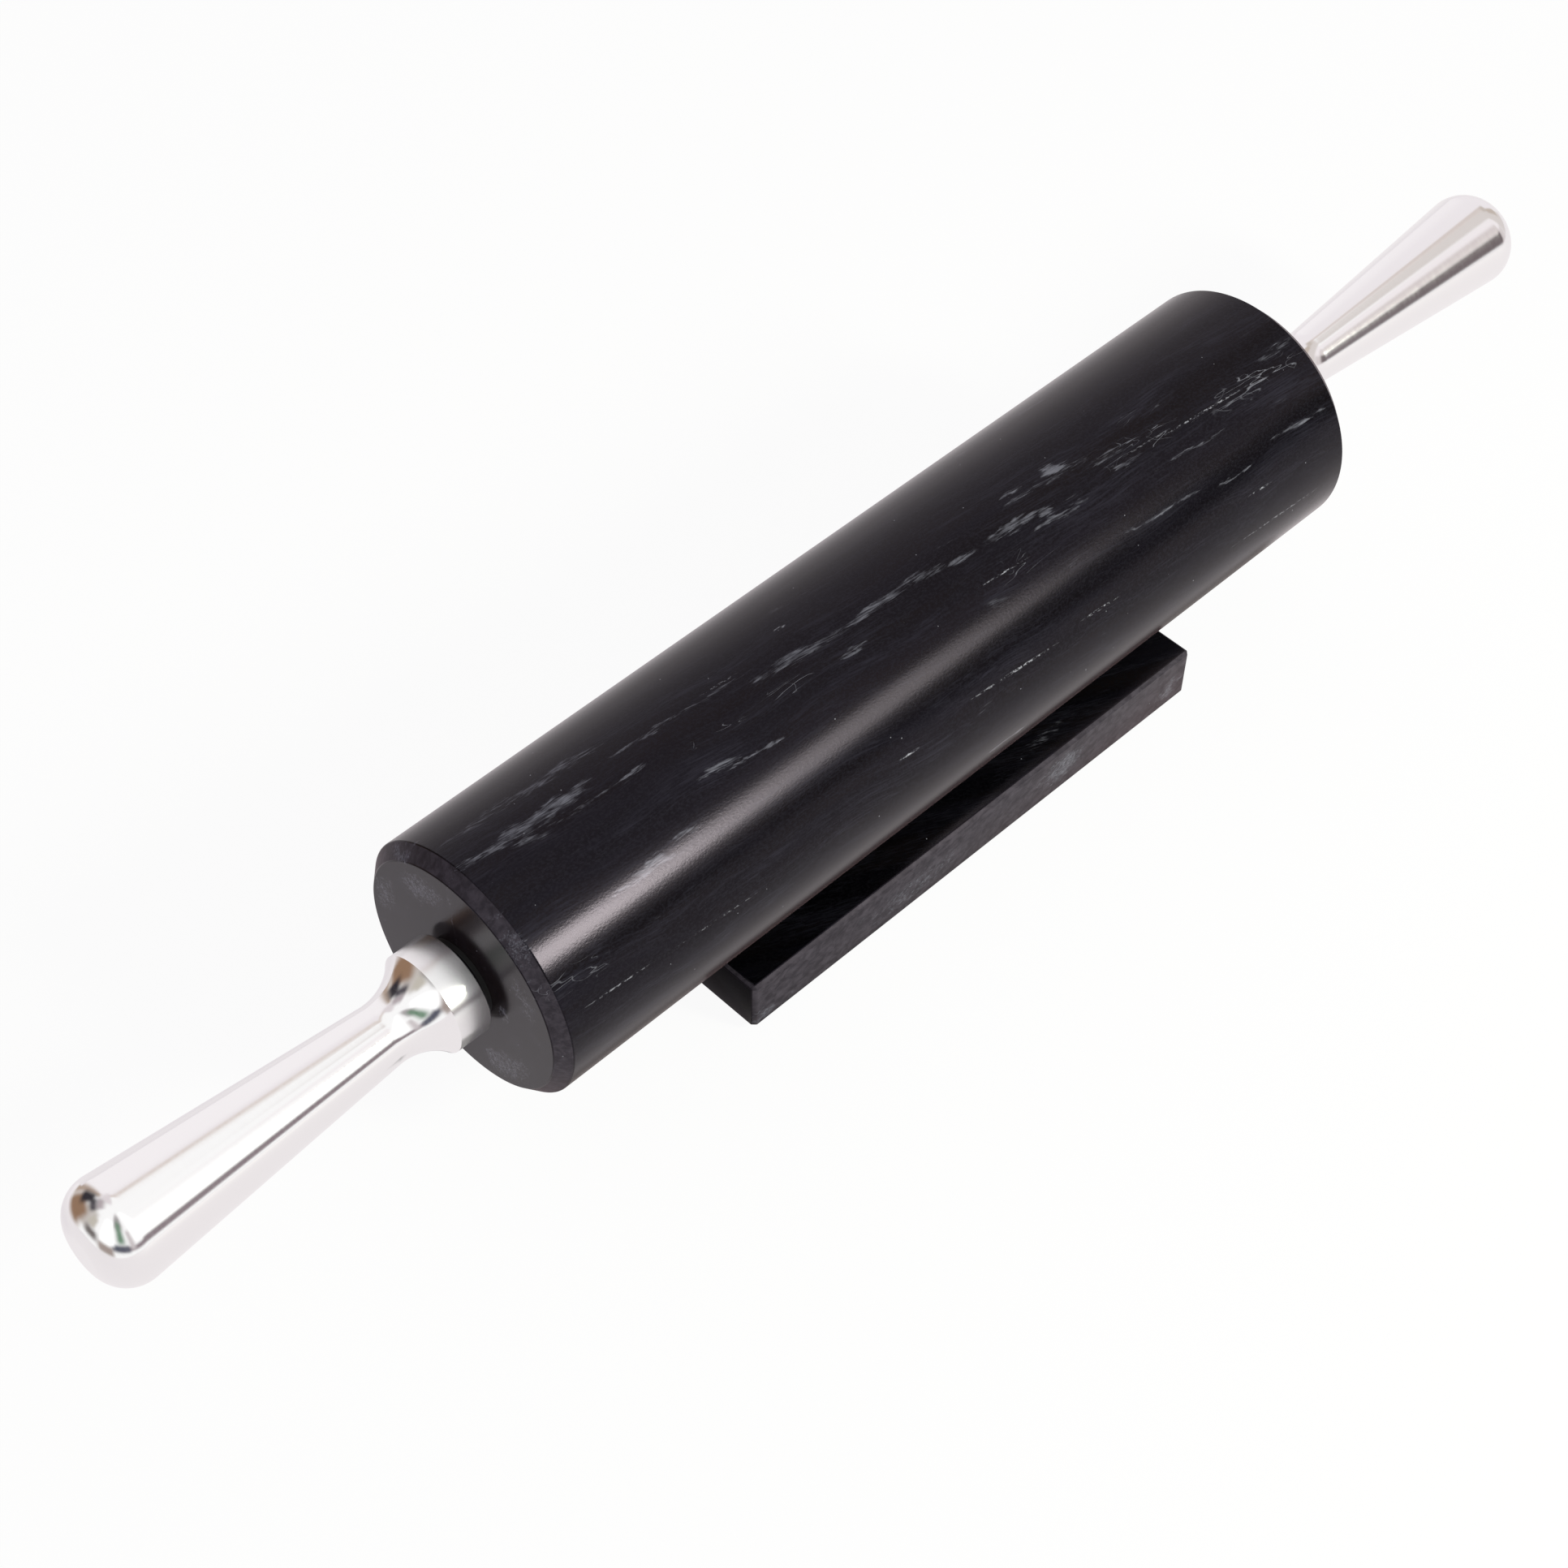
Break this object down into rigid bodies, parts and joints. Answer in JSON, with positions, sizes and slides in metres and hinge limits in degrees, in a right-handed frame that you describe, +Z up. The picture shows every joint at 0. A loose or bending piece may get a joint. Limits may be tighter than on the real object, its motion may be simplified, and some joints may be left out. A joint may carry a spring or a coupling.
{
  "type": "marble rolling pin",
  "caption": "Marble rolling pin: a black stone roller turns on a steel axle between flared aluminium handles and lies in the groove of a marble slab stand.",
  "frame": {"origin": "middle of the object's footprint, on the surface that the pads rest on", "axes": "+X along the roller's axis towards the right handle, +Y towards the back, +Z up"},
  "size_m": [0.4468, 0.0628, 0.0757],
  "materials": {
    "roller_marble": "satin-polished black marble with fine pale veins",
    "stand_marble": "polished black marble with sawn edges",
    "handle_aluminium": "turned and polished",
    "axle_steel": "bright drawn",
    "bush_nylon": "black moulded nylon",
    "washer_nylon": "black moulded nylon",
    "pad_rubber": "matte"
  },
  "bodies": {
    "stand": {"marble_stand": "stand_marble", "front_left_pad": "pad_rubber", "front_right_pad": "pad_rubber", "back_left_pad": "pad_rubber", "back_right_pad": "pad_rubber"},
    "axle": {"axle_rod": "axle_steel", "left_washer": "washer_nylon", "right_washer": "washer_nylon", "left_handle": "handle_aluminium", "right_handle": "handle_aluminium"},
    "roller": {"marble_roller": "roller_marble", "left_bush": "bush_nylon", "right_bush": "bush_nylon"}
  },
  "joints": [
    {"name": "pin_lift", "type": "slide", "parent": "stand", "child": "axle", "axis": [0, 0, 1], "range_m": [0, 0.1]},
    {"name": "roller_spin", "type": "hinge", "parent": "axle", "child": "roller", "pos_m": [0, 0, 0.0443], "axis": [1, 0, 0], "continuous": true}
  ]
}
